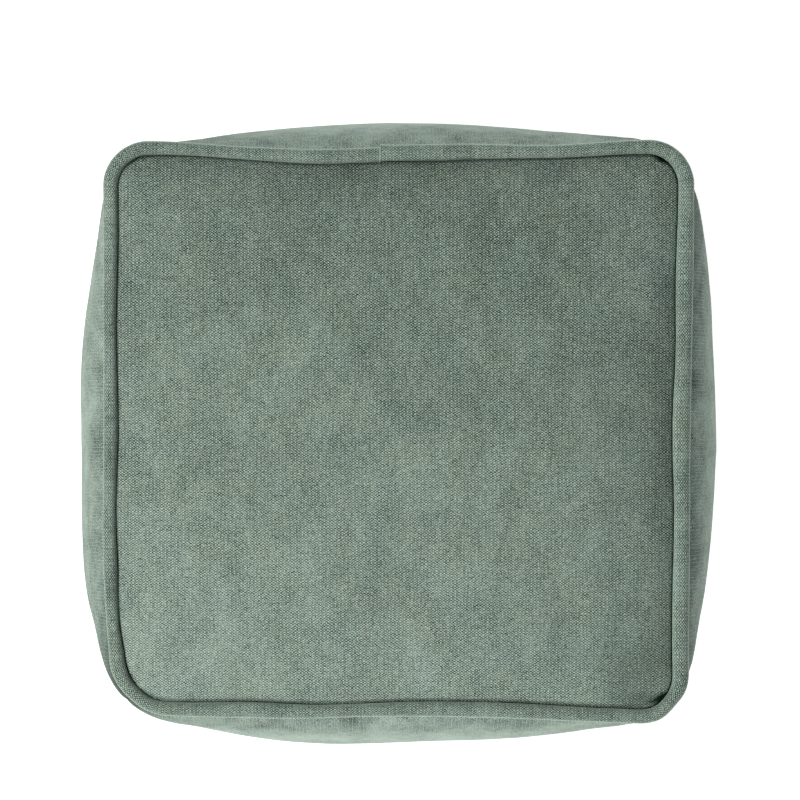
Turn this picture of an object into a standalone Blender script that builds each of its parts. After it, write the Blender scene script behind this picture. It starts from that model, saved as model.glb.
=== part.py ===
"""Cube pouf stool: a stuffed cloth cube with a crowned top panel and a piping ring round its top edge.

Metres, +Z up. The origin is on the floor, under the middle of the pouf, and the front is towards -Y.
The body is one filled solid: its four sides swell out between drawn-in edges, with the corner seams
sunk in. The top and base panels are sheets of cloth laid on it, and the piping sits in its rim.

Most places are worked out from a point of a cube that runs from -1 to +1 each way: x and y tell which
side or corner of the pouf is meant, and how far along it.
"""

import math
from collections import namedtuple

import bmesh
import bpy
import numpy as np
from mathutils import Vector

# ---- driving sizes, in metres ----
HEIGHT = 0.450  # floor to the crown of the top panel
CLOTH = 0.002  # thickness of the woven cloth
GAP = 0.0006  # between one piece and the next
PIPING_RADIUS = 0.0056  # half the width of the covered cord
CROWN = 0.016  # how much the middle of the top panel stands over its outer zone
SHOULDER = 0.006  # how far the top panel rises straight out of its seam
SHOULDER_REACH = 0.030  # distance from the seam over which it does so
RIM_SAG = 0.004  # the top edge hangs this much lower in mid-side than at the corners
SEAM_SINK = 0.0012  # how deep the thread pulls a corner or base seam into the filling
SEAM_TUCK = 0.0010  # the filling clears the cord by this much in the seam behind it
BASE_LIFT = 0.007  # how far the base seam stands off the floor
BASE_INSET = 0.004  # the base panel ends this far inside the line of the side panels
CORNER_SOFTNESS = 0.020  # how much rounder a corner is at half the height than at its ends

# ---- shares ----
BASE_FLAT = 0.84  # of the base that lies flat on the floor
SETTLE = 0.86  # under 1, the sides are fullest below half their height
FULLNESS = 0.55  # under 1, the sides fill out quickly next to their seams
CROWN_POWER = 2.2  # over 2, the crown is flatter in its middle
RIM_FALLS = 8  # over 1, the sag of the top edge stays near the edge

# ---- places worked out from them ----
RIM_HEIGHT = HEIGHT - CROWN - SHOULDER  # middle of the piping at a corner
SEAT = (PIPING_RADIUS + SEAM_TUCK) * math.sqrt(0.5)  # the filling's edge lies this far in and down
PANEL_INSET = PIPING_RADIUS + 3 * GAP  # from the piping's middle line to the top panel's edge
SIDE_FOOT = BASE_LIFT + CLOTH + GAP  # height of the side panels' lower edge

# ---- meshes ----
CELLS = 22  # along each edge of the cube
PIPING_STEPS = 26  # along each side of the ring
PIPING_BEVEL = 4  # gives 12 sides round the cord
BLEND = 24  # how sharply one side's values give way to the next round a corner

Corner = namedtuple("Corner", "x y radius")
# Where two sides of the piping's middle line would cross, and how softly the ring turns there.
RIM_CORNERS = {
    (-1, 1): Corner(x=-0.2172, y=0.2142, radius=0.0285),
    (1, 1): Corner(x=0.2175, y=0.2153, radius=0.0290),
    (1, -1): Corner(x=0.2134, y=-0.2141, radius=0.0320),
    (-1, -1): Corner(x=-0.2104, y=-0.2070, radius=0.0355),
}
# The same for the base seam, which is even all round.
BASE_CORNERS = {
    (sx, sy): Corner(x=sx * 0.2120, y=sy * 0.2090, radius=0.036) for sx in (-1, 1) for sy in (-1, 1)
}

# Along each side from one corner (-1) to the other (+1), towards +X or +Y.
# drawn_in: how far the filling pulls the piping inwards, under 0 where it pushes it out.
# swell: how far the full side stands out past the piping's middle line, at its fullest height.
Knot = namedtuple("Knot", "along drawn_in swell")
SIDES = {
    "left": (
        Knot(-1.00, 0.0000, 0.0275),
        Knot(-0.80, -0.0020, 0.0266),
        Knot(-0.62, -0.0042, 0.0340),
        Knot(-0.50, -0.0051, 0.0358),
        Knot(-0.10, -0.0038, 0.0372),
        Knot(0.25, -0.0026, 0.0380),
        Knot(0.60, -0.0014, 0.0273),
        Knot(1.00, 0.0000, 0.0100),
    ),
    "right": (
        Knot(-1.00, 0.0000, 0.0100),
        Knot(-0.75, 0.0004, 0.0232),
        Knot(-0.45, 0.0002, 0.0346),
        Knot(-0.10, 0.0006, 0.0398),
        Knot(0.30, 0.0000, 0.0373),
        Knot(0.65, -0.0005, 0.0303),
        Knot(1.00, 0.0000, 0.0100),
    ),
    "front": (
        Knot(-1.00, 0.0000, 0.0265),
        Knot(-0.80, -0.0007, 0.0250),
        Knot(-0.60, -0.0012, 0.0332),
        Knot(-0.35, -0.0010, 0.0390),
        Knot(-0.07, 0.0014, 0.0404),
        Knot(0.35, 0.0018, 0.0365),
        Knot(0.65, 0.0003, 0.0270),
        Knot(1.00, -0.0010, 0.0110),
    ),
    "back": (
        Knot(-1.00, 0.0000, 0.0100),
        Knot(-0.83, 0.0000, 0.0138),
        Knot(-0.53, 0.0043, 0.0288),
        Knot(-0.29, 0.0062, 0.0350),
        Knot(0.21, 0.0025, 0.0335),
        Knot(0.53, 0.0036, 0.0290),
        Knot(0.85, 0.0000, 0.0174),
        Knot(1.00, 0.0000, 0.0100),
    ),
}

# The lapped ends of the piping strip: one end stands a little outwards, then fades into the side.
JOIN_X = -0.014
JOIN_STEP = 0.0013
JOIN_FADE = 0.060

Look = namedtuple("Look", "colour roughness")
LOOKS = {
    "filled_body": Look((0.215, 0.270, 0.232), 0.92),
    "top_panel": Look((0.185, 0.235, 0.200), 0.92),
    "base_panel": Look((0.150, 0.190, 0.163), 0.95),
    "top_piping": Look((0.165, 0.212, 0.180), 0.90),
}


# ---- lines and surfaces of the pouf ----
def soft_curve(places, values, at):
    """A smooth curve through a few values, read at one place."""
    slopes = np.gradient(values, places)
    i = min(max(int(np.searchsorted(places, at)) - 1, 0), len(places) - 2)
    span = places[i + 1] - places[i]
    t = (at - places[i]) / span
    start = values[i] * (1 + 2 * t) * (1 - t) ** 2 + slopes[i] * span * t * (1 - t) ** 2
    end = values[i + 1] * t * t * (3 - 2 * t) + slopes[i + 1] * span * t * t * (t - 1)
    return start + end


def along_side(side, column, along):
    knots = SIDES[side]
    return soft_curve([k.along for k in knots], [getattr(k, column) for k in knots], along)


def at_sides(x, y, column):
    """A column of SIDES at a point of the square's edge. At a corner it is a blend of both sides."""
    nearness = {"right": x, "left": -x, "back": y, "front": -y}
    weights = {side: near ** BLEND for side, near in nearness.items() if near > 0}
    values = {
        side: along_side(side, column, y if side in ("left", "right") else x) for side in weights
    }
    return sum(weights[side] * values[side] for side in weights) / sum(weights.values())


def outline(x, y, corners, softer=0.0):
    """The place in plan of a point of the square's edge, on a four-sided line with round corners,
    and the direction that points straight out there."""
    corner = corners[(1 if x >= 0 else -1, 1 if y >= 0 else -1)]
    arc_x = (corner.radius + softer) / abs(corner.x)
    arc_y = (corner.radius + softer) / abs(corner.y)
    inner_x = max(arc_x - 1, min(1 - arc_x, x))
    inner_y = max(arc_y - 1, min(1 - arc_y, y))
    out = Vector(((x - inner_x) / arc_x, (y - inner_y) / arc_y)).normalized()
    on_arc_x = inner_x + out.x * arc_x
    on_arc_y = inner_y + out.y * arc_y
    place = Vector((0.0, 0.0))
    for (sx, sy), c in corners.items():
        place += Vector((c.x, c.y)) * (1 + sx * on_arc_x) * (1 + sy * on_arc_y) / 4
    return place, out


def rim_line(x, y, outwards=0.0, softer=0.0):
    """The piping's middle line in plan, or a line that runs beside it."""
    place, out = outline(x, y, RIM_CORNERS, softer)
    return place + out * (outwards - at_sides(x, y, "drawn_in"))


def base_line(x, y, outwards=0.0, softer=0.0):
    """The side panels' lower edge in plan, or a line that runs beside it."""
    place, out = outline(x, y, BASE_CORNERS, softer)
    return place + out * outwards


def side_line(x, y, up):
    """The outside of the filled sides in plan, with up from 0 at the base seam to 1 at the rim."""
    softer = CORNER_SOFTNESS * math.sin(math.pi * up)
    settled = up ** SETTLE
    swell = (4 * settled * (1 - settled)) ** FULLNESS * at_sides(x, y, "swell")
    return base_line(x, y, swell, softer).lerp(rim_line(x, y, swell, softer), up)


def rim_height(x, y):
    """Height of the piping's middle line at a point of the square's edge: lowest in mid-side."""
    return RIM_HEIGHT - RIM_SAG * (1 - min(abs(x), abs(y)) ** 2)


def to_edge(x, y):
    """How near a point is to the square's edge, from 0 to 1, and the edge point straight out of it."""
    ring = max(abs(x), abs(y))
    return (ring, x / ring, y / ring) if ring else (0.0, 1.0, 0.0)


def under_top_panel(x, y):
    """The underside of the top panel, which rises out of its seam and crowns in the middle."""
    ring, edge_x, edge_y = to_edge(x, y)
    plan = rim_line(edge_x, edge_y, -PANEL_INSET) * ring
    inwards = (1 - ring) * RIM_CORNERS[(1, 1)].x
    rise = 1 - (1 - min(inwards / SHOULDER_REACH, 1.0)) ** 2
    crown = (1 - abs(x) ** CROWN_POWER) * (1 - abs(y) ** CROWN_POWER)
    seam = RIM_HEIGHT + (rim_height(edge_x, edge_y) - RIM_HEIGHT) * ring ** RIM_FALLS
    return Vector((*plan, seam - CLOTH + SHOULDER * rise + CROWN * crown))


def under_base_panel(x, y):
    """The underside of the base panel, which is flat and then lifts towards its seam."""
    ring, edge_x, edge_y = to_edge(x, y)
    plan = base_line(edge_x, edge_y, -BASE_INSET) * ring
    lifted = max(ring - BASE_FLAT, 0.0) / (1 - BASE_FLAT)
    return Vector((*plan, BASE_LIFT * lifted ** 2))


def on_filled_body(x, y, z):
    """Where a point of the cube's surface goes on the filled body."""
    top, bottom = z == 1, z == -1
    seam = (abs(x), abs(y), abs(z)).count(1) > 1
    if top and seam:
        return Vector((*rim_line(x, y, -SEAT), rim_height(x, y) - SEAT))
    if top:
        return under_top_panel(x, y) - Vector((0, 0, GAP))
    if bottom:
        return under_base_panel(x, y) + Vector((0, 0, CLOTH + GAP + SEAM_SINK * seam))
    up = (z + 1) / 2
    plan = side_line(x, y, up)
    plan -= plan.normalized() * SEAM_SINK * seam
    head = rim_height(x, y) - SEAT
    return Vector((*plan, SIDE_FOOT + up * (head - SIDE_FOOT)))


def eased(t):
    """Spaces even cells so that they crowd towards the seams at -1 and +1."""
    return round(math.sin(t * math.pi / 2), 9)


# ---- pieces ----
def add_look(item):
    look = LOOKS[item.name]
    material = bpy.data.materials.new(item.name + "_cloth")
    material.use_nodes = True
    shader = material.node_tree.nodes["Principled BSDF"]
    shader.inputs["Base Color"].default_value = (*look.colour, 1.0)
    shader.inputs["Roughness"].default_value = look.roughness
    shader.inputs["Metallic"].default_value = 0.0
    item.data.materials.append(material)


def add_object(name, data, group):
    item = bpy.data.objects.new(name, data)
    group.objects.link(item)
    add_look(item)
    return item


def make_filled_body(group):
    """A gridded cube, with every point moved to its place on the stuffed pouf."""
    cage = bmesh.new()
    bmesh.ops.create_cube(cage, size=2.0)
    bmesh.ops.subdivide_edges(cage, edges=cage.edges[:], cuts=CELLS - 1, use_grid_fill=True)
    for point in cage.verts:
        point.co = on_filled_body(*(eased(c) for c in point.co))
    mesh = bpy.data.meshes.new("filled_body")
    cage.to_mesh(mesh)
    cage.free()
    mesh.shade_smooth()
    return add_object("filled_body", mesh, group)


def make_panel(name, underside, group):
    """A gridded square of cloth, with its thickness added upwards."""
    cage = bmesh.new()
    bmesh.ops.create_grid(cage, x_segments=CELLS, y_segments=CELLS, size=1.0)
    for point in cage.verts:
        point.co = underside(eased(point.co.x), eased(point.co.y))
    mesh = bpy.data.meshes.new(name)
    cage.to_mesh(mesh)
    cage.free()
    mesh.shade_smooth()
    item = add_object(name, mesh, group)
    thickness = item.modifiers.new("thickness", "SOLIDIFY")
    thickness.thickness = CLOTH
    thickness.offset = 1.0
    return item


def round_the_square(step):
    """A point of the square's edge. Steps run once round it."""
    side, count = divmod(step, PIPING_STEPS)
    along = eased(2 * count / PIPING_STEPS - 1)
    return ((along, 1), (1, -along), (-along, -1), (-1, along))[side]


def join_offset(place):
    """How far outwards the lapped end of the strip lies at this place of the ring."""
    past = place.x - JOIN_X
    if place.y < 0 or not 0 <= past < JOIN_FADE:
        return 0.0
    return JOIN_STEP * (1 - past / JOIN_FADE) ** 2


def make_top_piping(group):
    """A closed ring of covered cord along the rim."""
    cord = bpy.data.curves.new("top_piping", "CURVE")
    cord.dimensions = "3D"
    cord.bevel_depth = PIPING_RADIUS
    cord.bevel_resolution = PIPING_BEVEL
    ring = cord.splines.new("POLY")
    ring.use_cyclic_u = True
    ring.points.add(4 * PIPING_STEPS - 1)
    for step, point in enumerate(ring.points):
        x, y = round_the_square(step)
        plan = rim_line(x, y)
        plan += plan.normalized() * join_offset(plan)
        point.co = (*plan, rim_height(x, y), 1.0)
    return add_object("top_piping", cord, group)


def main():
    for item in list(bpy.data.objects):
        bpy.data.objects.remove(item, do_unlink=True)
    group = bpy.data.collections.new("cube_pouf_stool")
    bpy.context.scene.collection.children.link(group)
    make_filled_body(group)
    make_panel("base_panel", under_base_panel, group)
    make_panel("top_panel", under_top_panel, group)
    make_top_piping(group)


main()
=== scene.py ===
# %% [markdown]
# # A cube pouf in woven velvet
# The real pouf is a cube of cloth, stuffed so full that its four sides swell. A square panel closes the
# top, a cord covered with the same cloth is sewn in round its edge, and a plain square closes the base.
# Each of these is one piece here. A stranger's model could be sculpted by hand, but the pouf is regular,
# so its shape is written as a few lines: one for the top edge, one for the base, one for the swell.

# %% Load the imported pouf
import math
from collections import namedtuple

import bmesh
import bpy
import numpy as np
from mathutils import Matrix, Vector, noise


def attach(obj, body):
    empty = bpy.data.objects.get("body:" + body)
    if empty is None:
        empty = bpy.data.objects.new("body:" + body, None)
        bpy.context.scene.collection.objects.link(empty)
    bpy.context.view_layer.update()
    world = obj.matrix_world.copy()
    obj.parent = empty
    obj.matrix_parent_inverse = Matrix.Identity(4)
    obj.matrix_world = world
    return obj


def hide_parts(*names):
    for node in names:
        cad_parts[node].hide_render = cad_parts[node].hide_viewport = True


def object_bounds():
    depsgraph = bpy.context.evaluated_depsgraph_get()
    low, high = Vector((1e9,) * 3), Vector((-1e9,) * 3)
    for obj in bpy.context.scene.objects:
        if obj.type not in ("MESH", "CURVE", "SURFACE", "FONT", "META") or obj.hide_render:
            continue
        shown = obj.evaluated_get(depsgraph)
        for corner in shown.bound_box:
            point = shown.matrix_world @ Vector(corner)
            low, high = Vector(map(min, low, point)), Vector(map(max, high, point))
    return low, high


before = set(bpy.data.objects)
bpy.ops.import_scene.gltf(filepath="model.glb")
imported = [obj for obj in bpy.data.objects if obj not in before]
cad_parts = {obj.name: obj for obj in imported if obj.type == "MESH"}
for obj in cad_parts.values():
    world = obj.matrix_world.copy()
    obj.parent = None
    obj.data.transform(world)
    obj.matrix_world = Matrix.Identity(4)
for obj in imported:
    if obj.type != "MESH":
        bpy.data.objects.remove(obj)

cad_low, cad_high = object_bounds()
print("the pouf is", [round(size, 3) for size in cad_high - cad_low], "m wide, deep and high")

# %% [markdown]
# ## The sizes of the pouf
# Everything is in metres. The height comes from the loaded pouf, and the rest are the sizes that a maker
# would note down: how thick the cord is, how far the top stands up out of its seam, how deep the thread
# pulls a seam in. Naming them once means that each piece below fits the next.

# %% Sizes that the pieces share
HEIGHT = cad_high.z  # floor to the crown of the top
CLOTH = 0.002  # thickness of the woven cloth
GAP = 0.0006  # between one piece and the next
PIPING_RADIUS = 0.0056  # half the width of the covered cord
CROWN = 0.016  # how much the middle of the top stands over its outer zone
SHOULDER = 0.006  # how far the top rises out of its seam
SHOULDER_REACH = 0.030  # distance from the seam over which it does so
RIM_SAG = 0.004  # the top edge hangs this much lower in mid-side than at the corners
BASE_LIFT = 0.007  # how far the base seam stands off the floor
BASE_INSET = 0.004  # the base cover ends this far inside the line of the sides
CORNER_SOFTNESS = 0.020  # how much rounder a corner is at half the height than at its ends
BASE_FLAT = 0.84  # share of the base that lies flat on the floor
SETTLE = 0.86  # under 1, the sides are fullest below half their height
FULLNESS = 0.55  # under 1, the sides fill out quickly next to their seams
CROWN_POWER = 2.2  # over 2, the crown is flatter in its middle
RIM_HEIGHT = HEIGHT - CROWN - SHOULDER  # middle of the piping at a corner
SIDE_FOOT = BASE_LIFT + CLOTH + GAP  # height of the side panels' lower edge
HALF = 0.214  # from the middle of the pouf to its piping
print("the piping runs", round(RIM_HEIGHT, 3), "m over the floor")

# %% [markdown]
# ## The lines that give the shape
# The pouf in the photograph isn't a perfect square: each corner lies a little elsewhere, and each side
# swells by its own amount. One table holds the corners and one holds the sides, and a smooth curve is
# read between their rows. A place on the pouf is told by a point of a cube that runs from -1 to +1 each
# way, which says which side is meant and how far along it.

# %% Corners and sides, measured on the real pouf
Corner = namedtuple("Corner", "x y radius")
# Where two sides of the piping's middle line would cross, and how softly the ring turns there.
RIM_CORNERS = {
    (-1, 1): Corner(x=-0.2172, y=0.2142, radius=0.0285),
    (1, 1): Corner(x=0.2175, y=0.2153, radius=0.0290),
    (1, -1): Corner(x=0.2134, y=-0.2141, radius=0.0320),
    (-1, -1): Corner(x=-0.2104, y=-0.2070, radius=0.0355),
}
BASE_CORNERS = {
    (sx, sy): Corner(x=sx * 0.2120, y=sy * 0.2090, radius=0.036) for sx in (-1, 1) for sy in (-1, 1)
}

# Along each side from one corner (-1) to the other (+1), towards +X or +Y.
# drawn_in: how far the filling pulls the piping inwards, under 0 where it pushes it out.
# swell: how far the full side stands out past the piping's middle line, at its fullest height.
Knot = namedtuple("Knot", "along drawn_in swell")
SIDES = {
    "left": (
        Knot(-1.00, 0.0000, 0.0280),
        Knot(-0.80, -0.0020, 0.0266),
        Knot(-0.62, -0.0042, 0.0340),
        Knot(-0.50, -0.0051, 0.0358),
        Knot(-0.10, -0.0038, 0.0372),
        Knot(0.25, -0.0026, 0.0380),
        Knot(0.60, -0.0014, 0.0273),
        Knot(1.00, 0.0000, 0.0100),
    ),
    "right": (
        Knot(-1.00, 0.0000, 0.0100),
        Knot(-0.75, 0.0004, 0.0232),
        Knot(-0.45, 0.0002, 0.0346),
        Knot(-0.10, 0.0006, 0.0398),
        Knot(0.30, 0.0000, 0.0373),
        Knot(0.65, -0.0005, 0.0303),
        Knot(1.00, 0.0000, 0.0100),
    ),
    "front": (
        Knot(-1.00, 0.0000, 0.0262),
        Knot(-0.80, -0.0007, 0.0246),
        Knot(-0.60, -0.0012, 0.0332),
        Knot(-0.35, -0.0010, 0.0390),
        Knot(-0.07, 0.0014, 0.0404),
        Knot(0.35, 0.0018, 0.0365),
        Knot(0.65, 0.0003, 0.0270),
        Knot(1.00, -0.0010, 0.0110),
    ),
    "back": (
        Knot(-1.00, 0.0000, 0.0100),
        Knot(-0.83, 0.0000, 0.0138),
        Knot(-0.53, 0.0043, 0.0288),
        Knot(-0.29, 0.0062, 0.0350),
        Knot(0.21, 0.0025, 0.0335),
        Knot(0.53, 0.0036, 0.0290),
        Knot(0.85, 0.0000, 0.0174),
        Knot(1.00, 0.0000, 0.0100),
    ),
}
# Sewn by hand, the top seam wanders: how much further in it shows, along each side from -1 to +1.
Wander = namedtuple("Wander", "along shift")
SEAM_SHIFTS = {
    "left": (
        Wander(-1.00, -0.0002),
        Wander(-0.84, 0.0006),
        Wander(-0.70, -0.0020),
        Wander(-0.48, -0.0007),
        Wander(-0.30, -0.0021),
        Wander(0.00, -0.0004),
        Wander(0.36, -0.0019),
        Wander(0.64, -0.0004),
        Wander(1.00, -0.0006),
    ),
    "right": (
        Wander(-1.00, 0.0008),
        Wander(-0.55, 0.0016),
        Wander(-0.28, 0.0008),
        Wander(0.05, 0.0025),
        Wander(0.25, 0.0012),
        Wander(0.57, 0.0021),
        Wander(0.80, 0.0008),
        Wander(1.00, 0.0008),
    ),
    "front": (
        Wander(-1.00, 0.0001),
        Wander(-0.80, -0.0008),
        Wander(-0.55, 0.0008),
        Wander(-0.17, -0.0016),
        Wander(0.00, -0.0003),
        Wander(0.40, 0.0005),
        Wander(0.80, -0.0006),
        Wander(1.00, -0.0004),
    ),
    "back": (
        Wander(-1.00, 0.0006),
        Wander(-0.60, -0.0022),
        Wander(-0.30, 0.0001),
        Wander(-0.08, 0.0001),
        Wander(0.10, 0.0014),
        Wander(0.50, -0.0015),
        Wander(0.82, -0.0005),
        Wander(1.00, 0.0000),
    ),
}
BLEND = 24  # how sharply one side's values give way to the next round a corner
print(sum(len(knots) for knots in SIDES.values()), "rows describe the four sides")

# %% [markdown]
# Blender can move a mesh point by point, but a fine mesh has tens of thousands of points. The helpers of
# the next cells take whole arrays of points at once, which numpy works out in a blink.


# %% Smooth curves through the tables
def soft_curve(places, values, at):
    """A smooth curve through a few values, read at many places."""
    places, values = np.array(places), np.array(values)
    slopes = np.gradient(values, places)
    i = np.clip(np.searchsorted(places, at) - 1, 0, len(places) - 2)
    span = places[i + 1] - places[i]
    t = (at - places[i]) / span
    start = values[i] * (1 + 2 * t) * (1 - t) ** 2 + slopes[i] * span * t * (1 - t) ** 2
    end = values[i + 1] * t * t * (3 - 2 * t) + slopes[i + 1] * span * t * t * (t - 1)
    return start + end


def read_rows(rows, column, along):
    """One column of a side's table, read along the side."""
    return soft_curve([row.along for row in rows], [getattr(row, column) for row in rows], along)


def blend_sides(x, y, value_of):
    """What value_of(side, along) gives at points of the square's edge. A corner blends both sides."""
    total = weights = 0.0
    for side, near, along in (("right", x, y), ("left", -x, y), ("back", y, x), ("front", -y, x)):
        weight = np.clip(near, 0, None) ** BLEND
        total = total + weight * value_of(side, along)
        weights = weights + weight
    return total / weights


def at_sides(x, y, table, column):
    """A column of a table such as SIDES, at points of the square's edge."""
    return blend_sides(x, y, lambda side, along: read_rows(table[side], column, along))


middle_of_right = np.array([1.0]), np.array([0.0])
print("the right side swells by", at_sides(*middle_of_right, SIDES, "swell").round(4)[0], "m in its middle")


# %% Lines of the rim and of the base
def outline(x, y, corners, softer=0.0):
    """Places in plan on a four-sided line with round corners, and the direction straight out there."""
    table = np.array([[corners[(sx, sy)] for sy in (-1, 1)] for sx in (-1, 1)])
    corner_x, corner_y, radius = np.moveaxis(table[(x >= 0).astype(int), (y >= 0).astype(int)], -1, 0)
    arc_x = (radius + softer) / abs(corner_x)
    arc_y = (radius + softer) / abs(corner_y)
    inner_x = np.clip(x, arc_x - 1, 1 - arc_x)
    inner_y = np.clip(y, arc_y - 1, 1 - arc_y)
    out = np.stack(((x - inner_x) / arc_x, (y - inner_y) / arc_y), axis=-1)
    out /= np.linalg.norm(out, axis=-1, keepdims=True)
    on_arc_x = inner_x + out[:, 0] * arc_x
    on_arc_y = inner_y + out[:, 1] * arc_y
    place = sum(
        np.outer((1 + sx * on_arc_x) * (1 + sy * on_arc_y) / 4, (corner.x, corner.y))
        for (sx, sy), corner in corners.items()
    )
    return place, out


def rim_line(x, y, outwards=0.0, softer=0.0):
    """The piping's middle line in plan, or a line that runs beside it."""
    place, out = outline(x, y, RIM_CORNERS, softer)
    return place + out * np.reshape(outwards - at_sides(x, y, SIDES, "drawn_in"), (-1, 1))


def base_line(x, y, outwards=0.0, softer=0.0):
    """The side panels' lower edge in plan, or a line that runs beside it."""
    place, out = outline(x, y, BASE_CORNERS, softer)
    return place + out * np.reshape(outwards + 0 * x, (-1, 1))


def rim_height(x, y):
    """Height of the piping's middle line at points of the square's edge: lowest in mid-side."""
    return RIM_HEIGHT - RIM_SAG * (1 - np.minimum(abs(x), abs(y)) ** 2)


def seam_shift(x, y):
    """How much further in than the cord's own width the top seam shows."""
    return at_sides(x, y, SEAM_SHIFTS, "shift")


print("the rim hangs at", rim_height(*middle_of_right).round(4)[0], "m in mid-side")


# %% Helpers that place many points
def from_corner(x, y):
    """Distance along a side to its nearer corner."""
    return (1 - np.minimum(abs(x), abs(y))) * HALF


def eased(t):
    """Spaces even cells so that they crowd towards the seams at -1 and +1."""
    return np.round(np.sin(t * np.pi / 2), 9)


def to_edge(x, y):
    """How near points are to the square's edge, from 0 to 1, and the edge points straight out of them."""
    ring = np.maximum(abs(x), abs(y))
    safe = np.where(ring > 0, ring, 1.0)
    return ring, np.where(ring > 0, x / safe, 1.0), np.where(ring > 0, y / safe, 0.0)


def soft_noise(points, size, seed):
    """Smooth noise from about -1 to 1 at each point, with lumps of about that size."""
    return np.array([noise.noise(Vector(p) / size + Vector((seed, seed, seed))) for p in points])


def bell(distance, width):
    """1 at no distance, and smoothly down to 0 over about twice the width."""
    return np.exp(-((distance / width) ** 2))


def spot(place, row):
    """A bell round one place in plan, given by the x, y and reach of a table's row."""
    return bell(np.hypot(place[:, 0] - row.x, place[:, 1] - row.y), row.reach)


# %% [markdown]
# ## Camera, floor and lights
# The photograph looks straight down on the pouf from some metres away, so that the sides show only as
# narrow bands outside the piping. A camera far off with a narrow view gives the same bands. The floor
# glows a little, as a lit white paper sweep does, and stays white. The main lamp hangs high on the left,
# which leaves the right side in a gentle shade. A weaker one stands low in front and another behind.

# %% Camera straight above the pouf
IMAGE_WIDTH = 800  # pixels of the photograph, each way
PIXEL = 0.000754  # metres to a pixel at the piping's height
POUF_MIDDLE = (398.5, 432.5)  # the pixel over the pouf's own middle
CAMERA_OVER_RIM = 3.2
scene = bpy.context.scene


def add_object(name, data):
    """Puts a camera, a lamp or a mesh into the scene."""
    made = bpy.data.objects.new(name, data)
    scene.collection.objects.link(made)
    return made


camera = add_object("camera", bpy.data.cameras.new("camera"))
camera.location = (
    (IMAGE_WIDTH / 2 - POUF_MIDDLE[0]) * PIXEL,
    (POUF_MIDDLE[1] - IMAGE_WIDTH / 2) * PIXEL,
    RIM_HEIGHT + CAMERA_OVER_RIM,
)
camera.data.angle = 2 * math.atan(IMAGE_WIDTH / 2 * PIXEL / CAMERA_OVER_RIM)
camera.data.clip_end = 50.0
scene.camera = camera
print("the camera sees", round(math.degrees(camera.data.angle), 2), "degrees")


# %% Small helpers that wire shader nodes
def fill_in(node, inputs):
    """Fills in a node's inputs. What another node gives is linked, and any other value is set."""
    for key, value in inputs.items():
        if isinstance(value, bpy.types.NodeSocket):
            node.id_data.links.new(value, node.inputs[key])
        else:
            node.inputs[key].default_value = value


def add_node(tree, kind, inputs=None, **settings):
    """A new node with its settings made and its inputs filled in."""
    made = tree.nodes.new(kind)
    for name, value in settings.items():
        setattr(made, name, value)
    fill_in(made, inputs or {})
    return made


def calc(tree, operation, first, second=0.0, third=0.0):
    """The result of one sum, such as MULTIPLY or SINE."""
    return add_node(tree, "ShaderNodeMath", {0: first, 1: second, 2: third}, operation=operation).outputs[0]


def new_material(name):
    material = bpy.data.materials.new(name)
    material.use_nodes = True
    return material, material.node_tree, material.node_tree.nodes["Principled BSDF"]


# %% Floor
FLOOR_SIZE = 40.0
FLOOR_GREY = (0.42, 0.42, 0.42, 1.0)
FLOOR_GLOW = 0.92

floor_material, _, floor_shader = new_material("white_floor")
fill_in(floor_shader, {"Base Color": FLOOR_GREY, "Roughness": 0.9})
fill_in(floor_shader, {"Emission Color": (1.0, 1.0, 1.0, 1.0), "Emission Strength": FLOOR_GLOW})

sheet_of_floor = bmesh.new()
bmesh.ops.create_grid(sheet_of_floor, x_segments=1, y_segments=1, size=FLOOR_SIZE / 2)
floor_mesh = bpy.data.meshes.new("floor")
sheet_of_floor.to_mesh(floor_mesh)
sheet_of_floor.free()
floor = add_object("floor", floor_mesh)
floor.data.materials.append(floor_material)
print("the floor is", FLOOR_SIZE, "m wide")

# %% Lights
# Each lamp hangs so many degrees round from +X and up from the floor, and so many metres from the top.
Lamp = namedtuple("Lamp", "name turned raised away size watts colour")
LAMPS = (
    Lamp("key_lamp", turned=180, raised=60, away=2.6, size=1.0, watts=52.0, colour=(1.0, 0.99, 0.97)),
    Lamp("front_lamp", turned=262, raised=30, away=2.6, size=1.0, watts=28.0, colour=(1.0, 0.99, 0.97)),
    Lamp("back_lamp", turned=45, raised=40, away=2.6, size=1.0, watts=12.0, colour=(0.97, 0.99, 1.0)),
)
SKY_COLOUR = (0.97, 0.99, 1.0, 1.0)
SKY_STRENGTH = 0.04

for lamp in LAMPS:
    light = bpy.data.lights.new(lamp.name, "AREA")
    light.energy, light.size, light.color = lamp.watts, lamp.size, lamp.colour
    holder = add_object(lamp.name, light)
    turned, raised = math.radians(lamp.turned), math.radians(lamp.raised)
    sideways = math.cos(raised)
    towards = Vector((math.cos(turned) * sideways, math.sin(turned) * sideways, math.sin(raised)))
    holder.location = Vector((0, 0, HEIGHT)) + towards * lamp.away
    holder.rotation_euler = (-towards).to_track_quat("-Z", "Y").to_euler()

world = bpy.data.worlds.new("pale_sky")
scene.world = world
world.use_nodes = True
sky = world.node_tree
seen = add_node(sky, "ShaderNodeLightPath").outputs["Is Camera Ray"]
glow = calc(sky, "MAXIMUM", seen, SKY_STRENGTH)  # white where it is seen, and weak as a light
fill_in(sky.nodes["Background"], {"Color": SKY_COLOUR, "Strength": glow})
scene.view_settings.view_transform = "Standard"
scene.cycles.denoising_prefilter = "NONE"  # smoothing would take the fine weave for noise
print(len(LAMPS), "lamps and a pale sky")

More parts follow.
